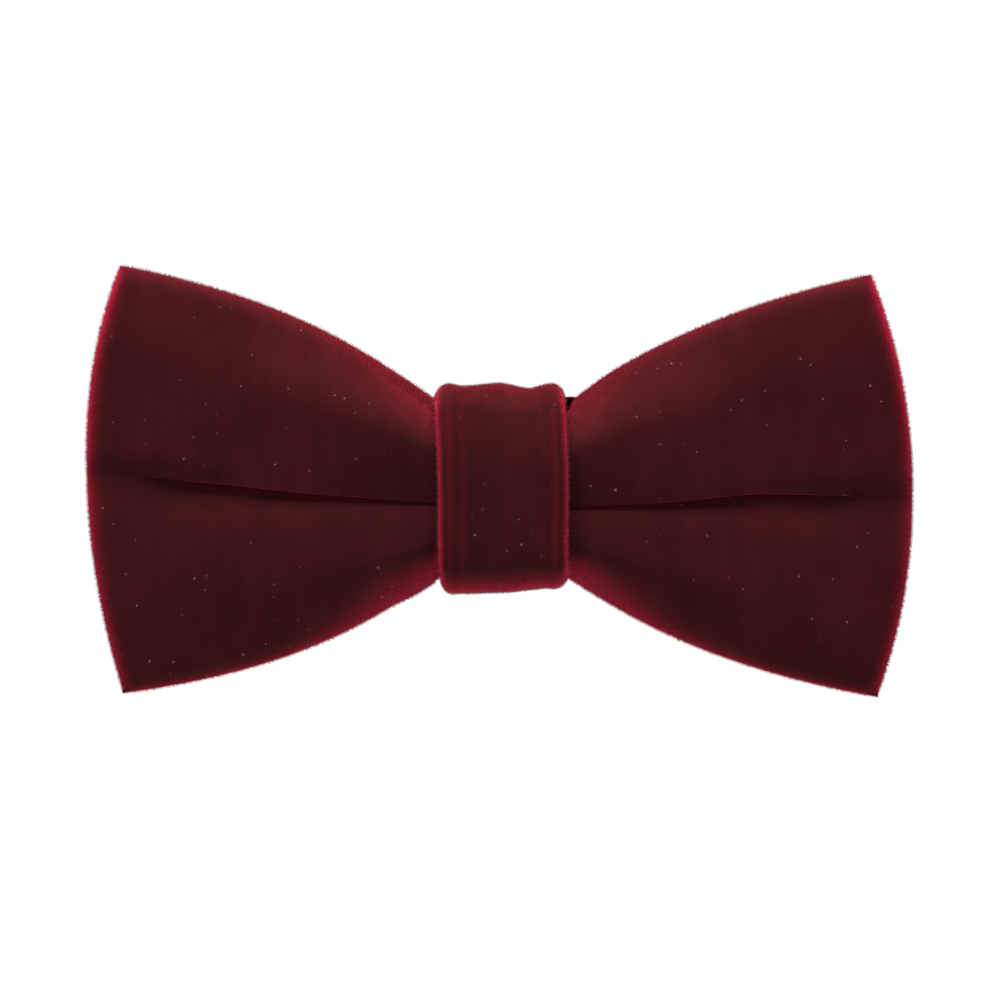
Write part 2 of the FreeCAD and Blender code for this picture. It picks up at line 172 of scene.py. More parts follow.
def lintMask(tree):  # a few short pale fibres caught in the nap
    coordinates = node(tree, "ShaderNodeTexCoord")
    cells = node(tree, "ShaderNodeTexVoronoi", {"Scale": 600.0, "Randomness": 1.0})
    bend = node(tree, "ShaderNodeTexNoise", {"Scale": 1500.0, "Detail": 1.0})
    shift = node(tree, "ShaderNodeVectorMath", {1: (0.0006, 0.0006, 0.0006)}, operation="MULTIPLY_ADD")
    tree.links.new(coordinates.outputs["Object"], bend.inputs["Vector"])
    tree.links.new(bend.outputs["Color"], shift.inputs[0])
    tree.links.new(coordinates.outputs["Object"], shift.inputs[2])
    tree.links.new(shift.outputs[0], cells.inputs["Vector"])
    pick = node(tree, "ShaderNodeSeparateColor")
    tree.links.new(cells.outputs["Color"], pick.inputs[0])
    near = node(tree, "ShaderNodeMapRange", {"From Min": 0.11, "From Max": 0.05})
    tree.links.new(cells.outputs["Distance"], near.inputs["Value"])
    some = node(tree, "ShaderNodeMapRange", {"From Min": 0.55, "From Max": 1.0})
    tree.links.new(pick.outputs[0], some.inputs["Value"])
    both = node(tree, "ShaderNodeMath", operation="MULTIPLY")
    tree.links.new(near.outputs[0], both.inputs[0])
    tree.links.new(some.outputs[0], both.inputs[1])
    return both.outputs[0]


def makeVelvet():
    material, tree, shader = newMaterial("maroonVelvet")
    look = velvetLook
    drift = objectNoise(tree, 70, 5.0)
    nap = objectNoise(tree, 260, 3.0, (1.0, 1.0, 0.35))
    blend = node(tree, "ShaderNodeMath", {2: 0.0}, operation="MULTIPLY_ADD")
    tree.links.new(drift, blend.inputs[0])
    tree.links.new(nap, blend.inputs[1])
    colour = ramp(tree, blend.outputs[0], ((0.16, look["deep"]), (0.36, look["rich"])))
    tree.links.new(mixed(tree, lintMask(tree), colour, look["lint"]), shader.inputs["Base Color"])
    shader.inputs["Roughness"].default_value = 0.95
    shader.inputs["Specular IOR Level"].default_value = 0.0
    shader.inputs["Sheen Weight"].default_value = look["sheen"]
    shader.inputs["Sheen Roughness"].default_value = look["sheenRoughness"]
    shader.inputs["Sheen Tint"].default_value = (*look["sheenTint"], 1)
    brushed = bumped(tree, nap, 0.25, 0.0005)
    pile = bumped(tree, objectNoise(tree, 5200, 2.0), 0.35, 0.00012, brushed)
    tree.links.new(pile, shader.inputs["Normal"])
    return material


def makeFibre(name, dark, light, scale, stretch=(1, 1, 1), lift=0.00008):
    material, tree, shader = newMaterial(name)
    strands = objectNoise(tree, scale, 3.0, stretch)
    tree.links.new(ramp(tree, strands, ((0.3, dark), (0.7, light))), shader.inputs["Base Color"])
    shader.inputs["Roughness"].default_value = 0.9
    shader.inputs["Specular IOR Level"].default_value = 0.2
    shader.inputs["Sheen Weight"].default_value = 0.3
    shader.inputs["Sheen Tint"].default_value = (*[part / max(light) for part in light], 1)
    tree.links.new(bumped(tree, strands, 0.5, lift), shader.inputs["Normal"])
    return material


def makeCanvas():
    material, tree, shader = newMaterial("canvas")
    coordinates = node(tree, "ShaderNodeTexCoord")
    threads = []
    for direction in ("X", "Z"):
        wave = node(tree, "ShaderNodeTexWave", {"Scale": 520.0, "Distortion": 0.6},
                    bands_direction=direction)
        tree.links.new(coordinates.outputs["Object"], wave.inputs["Vector"])
        threads.append(wave.outputs["Fac"])
    weave = node(tree, "ShaderNodeMath", operation="MULTIPLY")
    tree.links.new(threads[0], weave.inputs[0])
    tree.links.new(threads[1], weave.inputs[1])
    colour = ramp(tree, weave.outputs[0], ((0.1, (0.42, 0.38, 0.30)), (0.8, (0.66, 0.62, 0.53))))
    tree.links.new(colour, shader.inputs["Base Color"])
    shader.inputs["Roughness"].default_value = 0.95
    tree.links.new(bumped(tree, weave.outputs[0], 0.6, 0.00012), shader.inputs["Normal"])
    return material


def makeSteel(name, stretch, dark=(0.19, 0.19, 0.195), light=(0.25, 0.25, 0.26)):
    material, tree, shader = newMaterial(name)
    grain = objectNoise(tree, 900, 3.0, stretch)
    marks = objectNoise(tree, 140, 6.0)
    tree.links.new(ramp(tree, marks, ((0.32, dark), (0.62, light))), shader.inputs["Base Color"])
    shader.inputs["Metallic"].default_value = 1.0
    gloss = node(tree, "ShaderNodeMapRange",
                 {"From Min": 0.3, "From Max": 0.7, "To Min": 0.2, "To Max": 0.4})
    tree.links.new(grain, gloss.inputs["Value"])
    tree.links.new(gloss.outputs[0], shader.inputs["Roughness"])
    tree.links.new(bumped(tree, grain, 0.25, 0.00003), shader.inputs["Normal"])
    return material


def makeRubber():
    material, tree, shader = newMaterial("rubber")
    dust = objectNoise(tree, 800, 5.0)
    tree.links.new(ramp(tree, dust, ((0.35, (0.011, 0.011, 0.012)), (0.75, (0.035, 0.034, 0.034)))),
                   shader.inputs["Base Color"])
    shader.inputs["Roughness"].default_value = 0.62
    tree.links.new(bumped(tree, dust, 0.3, 0.00005), shader.inputs["Normal"])
    return material


velvet = makeVelvet()
canvas = makeCanvas()
wadding = makeFibre("wadding", (0.70, 0.70, 0.66), (0.86, 0.86, 0.84), 1600, (1, 1, 0.4), 0.0002)
thread = makeFibre("thread", (0.030, 0.003, 0.006), (0.085, 0.010, 0.016), 2600)
plateSteel = makeSteel("plateSteel", (0.06, 1, 1))
jawSteel = makeSteel("jawSteel", (0.06, 1, 1), (0.22, 0.22, 0.225), (0.29, 0.29, 0.30))
pinSteel = makeSteel("pinSteel", (1, 1, 0.1), (0.17, 0.17, 0.175), (0.22, 0.22, 0.23))
springSteel = makeSteel("springSteel", (1, 1, 1), (0.13, 0.13, 0.135), (0.18, 0.18, 0.19))
rubber = makeRubber()
print("materials ready")


# The pouch. Each side has its own outline; x runs from the middle of the bow to a wing's end, and
# a pair of values is for the top and the bottom, or for the waist and the ends.

bow = {
    "cornerX": {"left": (55.1, 54.6), "right": (53.7, 54.5)},  # top, bottom
    "cornerZ": {"left": (32.3, -29.8), "right": (31.0, -30.4)},
    "flareCurve": {"left": (1.5, 1.85), "right": (1.25, 1.45)},
    "puff": {"left": (0.2, 0.8), "right": (-0.5, 0.05)},  # the edge swells out just past the knot
    "puffAlong": ((8.2, 9.8), (10.5, 17.0)),  # where it comes and where it goes
    "endBulge": {"left": 4.9, "right": 5.4},
    "endSkew": {"left": 0.15, "right": 0.0},
    "waistZ": (12.2, -12.4),
    "waistHalfLength": 8.4,
    "wingLength": 54.5,
    "edgeY": (-3.1, -5.6),  # at the waist and at the ends
    "rollDepth": (8.1, 0.9),
    "halfThick": (1.6, 3.0),
    "fullness": (1.1, 0.75),  # of the upper and lower rolls: less is fuller
    "crestFall": 0.12,  # how much lower a roll is at the crease than at its crest
    "backFill": 0.72,  # how much the back follows the front near the crease, at the ends
    "pleatReach": 21.0,
    "rimRadius": 2.6,
    "rimTurn": (0.8, 0.42),  # the part of the half thickness that the front turns by
    "cloth": 0.5,
    "pocket": {"frontDrop": 1.5, "frontReach": (9.5, 11.2),  # the small fold right of the knot
               "backLift": 0.9, "backReach": (10.0, 11.3)},
    "shoulder": {"groove": 0.5, "width": 0.75, "below": 1.5, "until": (12.0, 19.0)},
    "gather": {"along": ((3.0, 4.6), (8.8, 11.5)),  # bunched cloth that fills the back of the knot
               "y": (-1.8, -0.5), "beyond": (5.6, 7.4)},  # at the clip's plate, and above and below it
    "undulation": 0.3,
    "pileFrom": (1.4, 3.2),  # distance from an edge: all the pile, and none of it
}
crease = {
    "z": {"left": ((9, -2.2), (23, -1.1), (38, 0.6), (50, 2.1)),
          "right": ((9, -2.8), (20, -2.3), (34, -0.9), (50, -1.3))},
    "step": ((9, 0.7), (22, 1.2), (31, 2.1), (37, 1.9), (48, 0.03)),  # how far the lip stands proud
    "reach": ((9, 2.4), (34, 6.5), (52, 6.5)),  # how far the lower layer takes to come forward
    "lipShare": 0.12,
    "thin": 0.12,  # the cloth's share of its thickness where it is folded on itself
    "hidden": 1.5,
    "dip": ((32, 0.0), (44, 1.1), (54.5, 0.6)),  # the soft groove where the fold runs out
    "dipWidth": (1.4, 5.0),  # above and below the fold
}


def along(table, x):  # a smooth value from a few (place, value) pairs
    if x <= table[0][0]:
        return table[0][1]
    for (x0, y0), (x1, y1) in zip(table, table[1:]):
        if x <= x1:
            return mix(y0, y1, smooth(x0, x1, x) * 0.35 + (x - x0) / (x1 - x0) * 0.65)
    return table[-1][1]


def edgeZ(side, x, which):
    reach = bow["wingLength"] - bow["waistHalfLength"]
    share = max(0.0, x - bow["waistHalfLength"]) / reach
    eased = share * share / (share + 0.02)
    curve = bow["flareCurve"][side][which]
    opened = (1 - math.exp(-curve * eased)) / (1 - math.exp(-curve))
    rising, falling = bow["puffAlong"]
    swell = bow["puff"][side][which] * smooth(*rising, x) * (1 - smooth(*falling, x))
    return mix(bow["waistZ"][which], bow["cornerZ"][side][which], opened) + (swell, -swell)[which]


def frontDrop(side, x):  # the front layer's edge is lower in the small fold right of the knot
    if side == "left":
        return 0.0
    return bow["pocket"]["frontDrop"] * (1 - smooth(*bow["pocket"]["frontReach"], x))


def backLift(side, x):  # and the back layer's edge shows behind it
    if side == "left":
        return 0.0
    return bow["pocket"]["backLift"] * (1 - smooth(*bow["pocket"]["backReach"], x))


def pleatLeft(x):  # how much of the pinch is left: 1 at the waist, fading to the ends
    return math.exp(-((max(0.0, x - bow["waistHalfLength"]) / bow["pleatReach"]) ** 1.5))


def rise(s, fullness):  # the roll's height: 0 at the edge, 1 at its crest, a little less at the crease
    if s < 0.5:
        return math.sin(math.pi * s) ** fullness
    return 1 - bow["crestFall"] * ((s - 0.5) / 0.5) ** 2


def creaseZ(side, x):
    return along(crease["z"][side], x)


def towardCrease(side, x, z):  # 0 at the roll's own edge, 1 at the crease
    top, bottom, fold = edgeZ(side, x, 0), edgeZ(side, x, 1), creaseZ(side, x)
    s = (top - z) / (top - fold) if z > fold else (z - bottom) / (fold - bottom)
    return min(1.0, max(0.0, s))


def middleY(side, x, z):  # the middle of the cloth's two layers
    faded = 1 - pleatLeft(x)
    depth = mix(*bow["rollDepth"], faded)
    fullness = bow["fullness"][0 if z > creaseZ(side, x) else 1]
    return mix(*bow["edgeY"], faded) - depth * rise(towardCrease(side, x, z), fullness)


def halfThick(x):
    return mix(*bow["halfThick"], 1 - pleatLeft(x))


def edgeRound(distance, radius):  # 0 at an edge, 1 a radius in from it, along a quarter circle
    t = 1 - min(1.0, max(0.0, distance) / radius)
    return math.sqrt(max(0.0, 1 - t * t))


def flatFront(side, x, z):
    top = edgeZ(side, x, 0) - frontDrop(side, x)
    edge = min(top - z, z - edgeZ(side, x, 1))
    turn = bow["rimTurn"][0 if z > creaseZ(side, x) else 1]
    y = middleY(side, x, z) - halfThick(x) * (1 - turn * (1 - edgeRound(edge, bow["rimRadius"])))
    if side == "left":  # the roll's shoulder stands off the top edge near the knot
        look = bow["shoulder"]
        groove = look["groove"] * math.exp(-(((top - look["below"] - z) / look["width"]) ** 2))
        y += groove * (1 - smooth(*look["until"], x))
    return y


def backSurface(side, x, z):
    s, faded = towardCrease(side, x, z), 1 - pleatLeft(x)
    wave = math.sin(math.pi * s) ** 2
    if s > 0.5:
        wave = mix(wave, 1, bow["backFill"] * faded)
    middle = mix(*bow["edgeY"], faded) - mix(*bow["rollDepth"], faded) * wave
    edge = min(edgeZ(side, x, 0) - z, z - edgeZ(side, x, 1))
    turn = bow["rimTurn"][0 if z > creaseZ(side, x) else 1]
    y = middle + halfThick(x) * (1 - (2 - turn) * (1 - edgeRound(edge, bow["rimRadius"])))
    rising, falling = bow["gather"]["along"]
    gathered = smooth(*rising, x) * (1 - smooth(*falling, x)) * edgeRound(edge, bow["rimRadius"])
    reached = mix(*bow["gather"]["y"], smooth(*bow["gather"]["beyond"], abs(z)))
    return mix(y, max(y, reached), gathered)


def borderSteps(radius, count):  # rows that follow a round edge
    return [radius * (1 - math.cos(math.pi / 2 * (i + 1) / count)) for i in range(count)]


def spread(start, end, count):  # count values after start, the last of them end
    return [mix(start, end, (i + 1) / count) for i in range(count)]


def frontSection(side, x):  # (y, z, the cloth's share of its thickness), from the top edge down
    top, bottom = edgeZ(side, x, 0) - frontDrop(side, x), edgeZ(side, x, 1)
    fold, rim = creaseZ(side, x), bow["rimRadius"]
    step, reach = along(crease["step"], x), along(crease["reach"], x)
    radius = step * crease["lipShare"]

    def plain(z):
        width = crease["dipWidth"][0 if z > fold else 1]
        return flatFront(side, x, z) + along(crease["dip"], x) * math.exp(-(((z - fold) / width) ** 2))

    held = smooth(0.05, 0.6, step)  # beyond the fold its rows lie flat
    thin = mix(1, crease["thin"], held)
    section = [(plain(top - inset), top - inset, 1.0) for inset in [0] + borderSteps(rim, 6)]
    lipStart = fold + radius
    for z in spread(top - rim, lipStart + 0.3, 23) + [lipStart + 0.12, lipStart]:
        section.append((plain(z), z, mix(thin, 1, smooth(0.3, 3.0, z - lipStart))))
    folded = []
    lipY, lipZ = plain(fold + radius) + radius, fold + radius
    for i in range(1, 12):  # the lip turns under
        turn = math.radians(15 * i)
        folded.append((lipY - radius * math.cos(turn), lipZ - radius * math.sin(turn)))
    root = lipZ + crease["hidden"] * step
    folded.append((lipY + 1.3 * radius, mix(lipZ, root, 0.6)))
    folded.append((lipY + 1.8 * radius, root))
    for i in range(25):  # the lower layer, from behind the lip
        share = (i / 24) ** 1.2
        z = mix(root - 0.1 * step, fold - reach, share)
        folded.append((plain(z) + 1.3 * step * (1 - share) ** 1.8, z))
    level = lipStart
    for i, (y, z) in enumerate(folded):
        level = min(level - 0.02, z)
        layer = mix(thin, 1, smooth(0.6, 1.0, (i + 1) / len(folded)))
        section.append((mix(plain(level), y, held), mix(level, z, held), layer))
    section += [(plain(z), z, 1.0) for z in spread(fold - reach, bottom + rim, 20)]
    for inset in borderSteps(rim, 6)[::-1][1:] + [0]:
        section.append((plain(bottom + inset), bottom + inset, 1.0))
    return section


def backSection(side, x):
    top, bottom = edgeZ(side, x, 0) + backLift(side, x), edgeZ(side, x, 1)
    rim = bow["rimRadius"]
    levels = [top - step for step in [0] + borderSteps(rim, 6)]
    levels += spread(top - rim, bottom + rim, 44)
    levels += [bottom + step for step in borderSteps(rim, 6)[::-1][1:] + [0]]
    return [(backSurface(side, x, z), z, 1.0) for z in levels]


def columnsAlong():
    length, rim = bow["wingLength"], bow["rimRadius"]
    columns = [0.0, 3.0, 6.0, 7.6, 8.4]
    columns += spread(8.4, length - rim, 62)
    return columns + [length - step for step in borderSteps(rim, 6)[::-1][1:] + [0]]


def placed(side, x, y, z):  # on the bow, with the end's bulge and round edge
    top, bottom = edgeZ(side, x, 0), edgeZ(side, x, 1)
    v = (z - (top + bottom) / 2) / ((top - bottom) / 2)
    topX, bottomX = bow["cornerX"][side]
    corner = mix(bottomX, topX, (v + 1) / 2)
    endX = corner + bow["endBulge"][side] * (1 - v * v) * (1 + bow["endSkew"][side] * v)
    share = x / bow["wingLength"]
    common = (flatFront(side, x, z) + backSurface(side, x, z)) / 2
    y = mix(common, y, edgeRound(bow["wingLength"] - x, bow["rimRadius"]))
    acrossX = share * endX * (1 if side == "right" else -1)
    y -= bow["undulation"] * wander(acrossX, z, 14, 3) * smooth(0, 5, 54 - x)
    return (acrossX, y, z)


def grid(columns, section):  # points row by row, how near each is to an edge, and the cloth's share
    sections, nearness, shares = [], [], []
    for side, x in columns:
        line = section(side, x)
        top, bottom = line[0][1], line[-1][1]
        sections.append([placed(side, x, y, z) for y, z, share in line])
        toEnd = bow["wingLength"] - x
        apart = [min(top - z, z - bottom, toEnd) for y, z, share in line]
        nearness.append([1 - smooth(*bow["pileFrom"], d) for d in apart])
        corner = [math.hypot(min(top - z, z - bottom), toEnd) for y, z, share in line]  # thinner there
        shares.append([item[2] * mix(0.1, 1, smooth(0.3, 3.0, d)) for item, d in zip(line, corner)])
    order = [(r, c) for r in range(len(sections[0])) for c in range(len(columns))]
    points = [sections[c][r] for r, c in order]
    flat = [[values[c][r] for r, c in order] for values in (nearness, shares)]
    return points, flat[0], flat[1], len(sections[0]), len(columns)


def thickened(piece, thickness, shares):  # real cloth, thinner where it is folded on itself
    group = piece.vertex_groups.new(name="cloth")
    for i, share in enumerate(shares):
        group.add([i], share, "REPLACE")
    solid = piece.modifiers.new("cloth", "SOLIDIFY")
    solid.thickness = thickness * mm
    solid.offset = -1
    solid.vertex_group = "cloth"
    applied(piece)
    piece.vertex_groups.clear()
    return piece


napped = {}  # the faces that carry pile, by piece


def makeLayer(name, columns, section, flip, nodeName):
    points, nearness, shares, rows, count = grid(columns, section)
    piece = meshPiece(name, points, gridFaces(rows, count, flip), velvet)
    edge = piece.data.attributes.new("edge", "FLOAT", "POINT")
    edge.data.foreach_set("value", nearness)
    napped[name] = piece.data.copy()
    thickened(piece, bow["cloth"], shares)
    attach(piece, "bow")
    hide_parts(nodeName)


def makePouch():
    both = [("left", x) for x in columnsAlong()[:0:-1]] + [("right", x) for x in columnsAlong()]
    makeLayer("frontPanel", both, frontSection, True, "front_panel")
    for side in ("left", "right"):
        columns = [(side, x) for x in columnsAlong()]
        makeLayer(f"backPanel{side.title()}", columns, backSection, side == "left",
                  f"back_panel_{side}")
    print("pouch ready")


makePouch()


# Inside the pouch

inner = {
    "interlining": 0.4,
    "interliningReach": 0.87,  # the part of the pouch's length and height that it takes
    "gap": 0.3,
    "waddingReach": 0.8,  # the part of the pouch's height
    "waddingAlong": (16.0, 47.5),
    "waddingGap": {"front": 0.5, "fold": 0.3, "back": 0.15},
    "foldDepth": 1.3,  # behind the crease, in steps of the lip
    "foldWidth": (1.0, 5.0),
}


def slab(name, material, columns, reach, front, back):  # closed, with round edges
    levels = [math.sin(math.pi / 2 * (i / 15 - 1)) * reach for i in range(31)]
    sheets = ([], [])
    for level in levels:
        for side, x in columns:
            top, bottom = edgeZ(side, x, 0), edgeZ(side, x, 1)
            z = (top + bottom) / 2 + level * (top - bottom) / 2
            near, far = front(side, x, z), back(side, x, z)
            toEnd = min(abs(x - columns[0][1]), abs(x - columns[-1][1]))
            fullness = edgeRound(reach - abs(level), 0.05) * edgeRound(toEnd + 0.05, 1.5)
            middle, half = (near + far) / 2, max(0.1, (far - near) / 2) * max(0.15, fullness)
            for sheet, y in zip(sheets, (middle - half, middle + half)):
                sheet.append(placed(side, x, y, z))
    count, rows, size = len(columns), len(levels), len(levels) * len(columns)
    faces = gridFaces(rows, count) + [tuple(size + i for i in f[::-1]) for f in gridFaces(rows, count)]
    rim = list(range(count)) + [i * count + count - 1 for i in range(1, rows)]
    rim += [(rows - 1) * count + i for i in range(count - 2, -1, -1)]
    rim += [i * count for i in range(rows - 2, 0, -1)]
    for a, b in zip(rim, rim[1:] + rim[:1]):
        faces.append((a, a + size, b + size, b))
    return outward(meshPiece(name, sheets[0] + sheets[1], faces, material))


def canvasBack(side, x, z):
    return backSurface(side, x, z) - (bow["cloth"] + inner["gap"])


def canvasFront(side, x, z):
    return canvasBack(side, x, z) - inner["interlining"]


def waddingFront(side, x, z):  # behind the front panel, and behind the cloth folded at the crease
    gap, fold = inner["waddingGap"], creaseZ(side, x)
    plain = flatFront(side, x, z) + bow["cloth"] + gap["front"]
    foldBack = flatFront(side, x, fold) + inner["foldDepth"] * along(crease["step"], x)
    foldBack += along(crease["dip"], x) + bow["cloth"] + gap["fold"]
    return max(plain, mix(plain, foldBack, 1 - smooth(*inner["foldWidth"], abs(z - fold))))


def waddingBack(side, x, z):
    return canvasFront(side, x, z) - inner["waddingGap"]["back"]


def makeInner():
    reach = inner["interliningReach"]
    xs = spread(0, bow["wingLength"] * reach, 40)
    columns = [("left", x) for x in xs[::-1]] + [("right", x) for x in [0.0] + xs]
    lining = slab("canvasInterlining", canvas, columns, reach, canvasFront, canvasBack)
    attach(lining, "bow")
    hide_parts("interlining")
    start, end = inner["waddingAlong"]
    for side in ("left", "right"):
        columns = [(side, x) for x in [start] + spread(start, end, 26)]
        fill = slab(f"wingWadding{side.title()}", wadding, columns, inner["waddingReach"],
                    waddingFront, waddingBack)
        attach(fill, "bow")
        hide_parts(f"wadding_{side}")
    print("inside ready")


makeInner()


# The knot

knot = {
    "halfWidth": 9.35,
    "y": (-15.6, 2.2),
    "z": (-14.8, 14.72),
    "corner": 3.9,
    "thick": 2.05,
    "leftX": (8.35, 9.25),  # each side's reach at the bottom and the top
    "rightX": (9.6, 9.15),
    # how far the band's top and bottom stand off, along x
    "topWave": ((-9.3, 0.15), (-7.5, 0.05), (-5.2, -0.4), (0, 0.1), (4.3, -0.75), (7.8, 0.15), (9.3, 0.6)),
    "bottomWave": ((-9.3, 0.6), (-6.6, 0.2), (0.6, 0.0), (6.4, -0.6), (7.9, -0.4), (9.3, 0.0)),
    "lean": ((1.5, 13.5, 3.1), (8.0, 7.0, 1.4)),  # top and bottom of the face: from, over, by how much
    "cornerCut": (7.0, 2.3, 1.5),  # the strip's round corners: from, over, by how much
    "slit": (1.35, 0.8),  # the hollow inside the folded band: distance in from its edges, and height
    "lining": (1.9, 0.25),
    "bead": (0.95, 0.8, 0.42),  # each rolled side edge: distance in, width and height
    "valley": (2.75, 0.9, 0.3),
    "ridges": ((-5.0, 0.9, 0.26), (2.0, 1.2, 0.32), (5.4, 1.1, 0.12)),  # place, width and height
    "calm": 0.85,  # how much of all this is lost at the top and bottom
}


def knotLoop():  # points round the knot as (y, z, outward y, outward z)
    (near, far), (low, high), radius = knot["y"], knot["z"], knot["corner"]
    corners = ((near + radius, low + radius, 180), (far - radius, low + radius, 270),
               (far - radius, high - radius, 0), (near + radius, high - radius, 90))
    loop = []
    for i, (y, z, start) in enumerate(corners):
        for step in range(13):
            turn = math.radians(start + 90 * step / 12)
            outY, outZ = math.cos(turn), math.sin(turn)
            loop.append((y + radius * outY, z + radius * outZ, outY, outZ))
        nextY, nextZ, nextStart = corners[(i + 1) % 4]
        turn = math.radians(nextStart)
        lastY, lastZ, outY, outZ = loop[-1]
        endY, endZ = nextY + radius * math.cos(turn), nextZ + radius * math.sin(turn)
        count = 14 if i % 2 == 0 else 44
        for share in [step / count for step in range(1, count)]:
            loop.append((mix(lastY, endY, share), mix(lastZ, endZ, share), outY, outZ))
    return loop


def knotProfile():  # the band's section as (x, height over its face), all the way round
    half, turned = knot["halfWidth"], knot["thick"] / 2
    flat = half - turned
    angles = [math.radians(t) for t in range(15, 180, 15)]
    outer = [(mix(-flat, flat, i / 72), 0.0) for i in range(73)]
    right = [(flat + turned * math.sin(t), -turned + turned * math.cos(t)) for t in angles]
    innerSide = [(mix(flat, -flat, i / 12), -2 * turned) for i in range(13)]
    return outer + right + innerSide + [(-x, h) for x, h in right[::-1]]


def flatProfile(inset, tall):  # a thin strip's section inside the band
    half, middle = knot["halfWidth"] - inset, -knot["thick"] / 2
    top = [(mix(-half, half, i / 24), middle + tall / 2) for i in range(25)]
    return top + [(x, middle - tall / 2) for x, h in top[::-1]]


def bump(distance, width, tall):
    return tall * math.exp(-((distance / width) ** 2))


def knotLift(x, z, outZ):  # rolled edges and soft ridges along the band, then unevenness
    fromEdge = knot["halfWidth"] - abs(x)
    place, width, tall = knot["bead"]
    lift = bump(fromEdge - place, width, tall)
    place, width, deep = knot["valley"]
    lift -= bump(fromEdge - place, width, deep)
    for place, width, tall in knot["ridges"]:
        drift = 0.35 * math.sin(z / 7 + place)
        lift += bump(x - place - drift, width, tall * (0.75 + 0.25 * math.sin(z / 5 + place)))
    way = z + 40 * outZ
    return lift + 0.12 * wander(x, way, 6, 5) + 0.05 * wander(x * 2.5, way, 4, 9)


def leanBack(y, z):  # the face curves away to the collar at its top, and less at its bottom
    start, over, amount = knot["lean"][0 if z > 0 else 1]
    near, far = knot["y"]
    front = min(1.0, max(0.0, (far - y) / (far - near)))
    return amount * max(0.0, (abs(z) - start) / over) ** 2 * front


def knotRing(profile):
    loop, points, faces = knotLoop(), [], []
    begin, over, cut = knot["cornerCut"]
    for y, z, outY, outZ in loop:
        sway = 0.12 * math.sin(z / 4.1 + 1.0)
        for x, height in profile:
            edge = mix(*knot["leftX" if x < 0 else "rightX"], (z + 15) / 30)
            if height > -0.9:  # the face of the band, not its inside
                height += knotLift(x, z, outZ) * (1 - knot["calm"] * abs(outZ))
            height += along(knot["topWave"], x) * max(0, outZ)
            height += along(knot["bottomWave"], x) * max(0, -outZ)
            height -= cut * min(1.0, max(0.0, (abs(x) - begin) / over)) ** 2 * abs(outZ)
            outerY, outerZ = y + outY * height, z + outZ * height
            points.append((x * edge / knot["halfWidth"] + sway, outerY + leanBack(outerY, outerZ), outerZ))
    rows, columns = len(loop), len(profile)
    for i in range(rows):
        for j in range(columns):
            a, b = i * columns + j, i * columns + (j + 1) % columns
            c, d = (i + 1) % rows * columns + (j + 1) % columns, (i + 1) % rows * columns + j
            faces.append((a, b, c, d))
    return points, faces


def makeKnot():
    points, faces = knotRing(knotProfile())
    band = outward(meshPiece("knotBand", points, faces, velvet))
    edge = band.data.attributes.new("edge", "FLOAT", "POINT")
    edge.data.foreach_set("value", [1.0] * len(points))
    napped["knotBand"] = band.data.copy()
    slit = outward(meshPiece("slit", *knotRing(flatProfile(*knot["slit"])), velvet))
    slit.data.flip_normals()
    work = bmesh.new()
    work.from_mesh(band.data)
    work.from_mesh(slit.data)
    work.to_mesh(band.data)
    work.free()
    bpy.data.objects.remove(slit)
    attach(band, "bow")
    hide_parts("knot_band")
    lining = outward(meshPiece("knotLining", *knotRing(flatProfile(*knot["lining"])), canvas))
    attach(lining, "bow")
    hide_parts("knot_lining")
    print("knot ready")


makeKnot()


# The pile that stands out along the edges

pile = {
    "frontPanel": {"density": 25e6, "seed": 1},
    "backPanelLeft": {"density": 22e6, "seed": 2},
    "backPanelRight": {"density": 22e6, "seed": 3},
    "knotBand": {"density": 22e6, "seed": 4},
    "length": 0.5,
    "radius": 0.024,
    "facing": (0.86, 0.3),  # how much a face looks to the front or back: no pile, and all of it
    "lean": 0.45,
    "sizes": (0.7, 1.15),
}


def makePileMaterial():
    material, tree, shader = newMaterial("velvetPile")
    colour = ramp(tree, objectNoise(tree, 900), ((0.3, (0.055, 0.004, 0.009)), (0.7, (0.12, 0.008, 0.017))))
    tree.links.new(colour, shader.inputs["Base Color"])
    shader.inputs["Roughness"].default_value = 0.9
    shader.inputs["Specular IOR Level"].default_value = 0.1
    return material


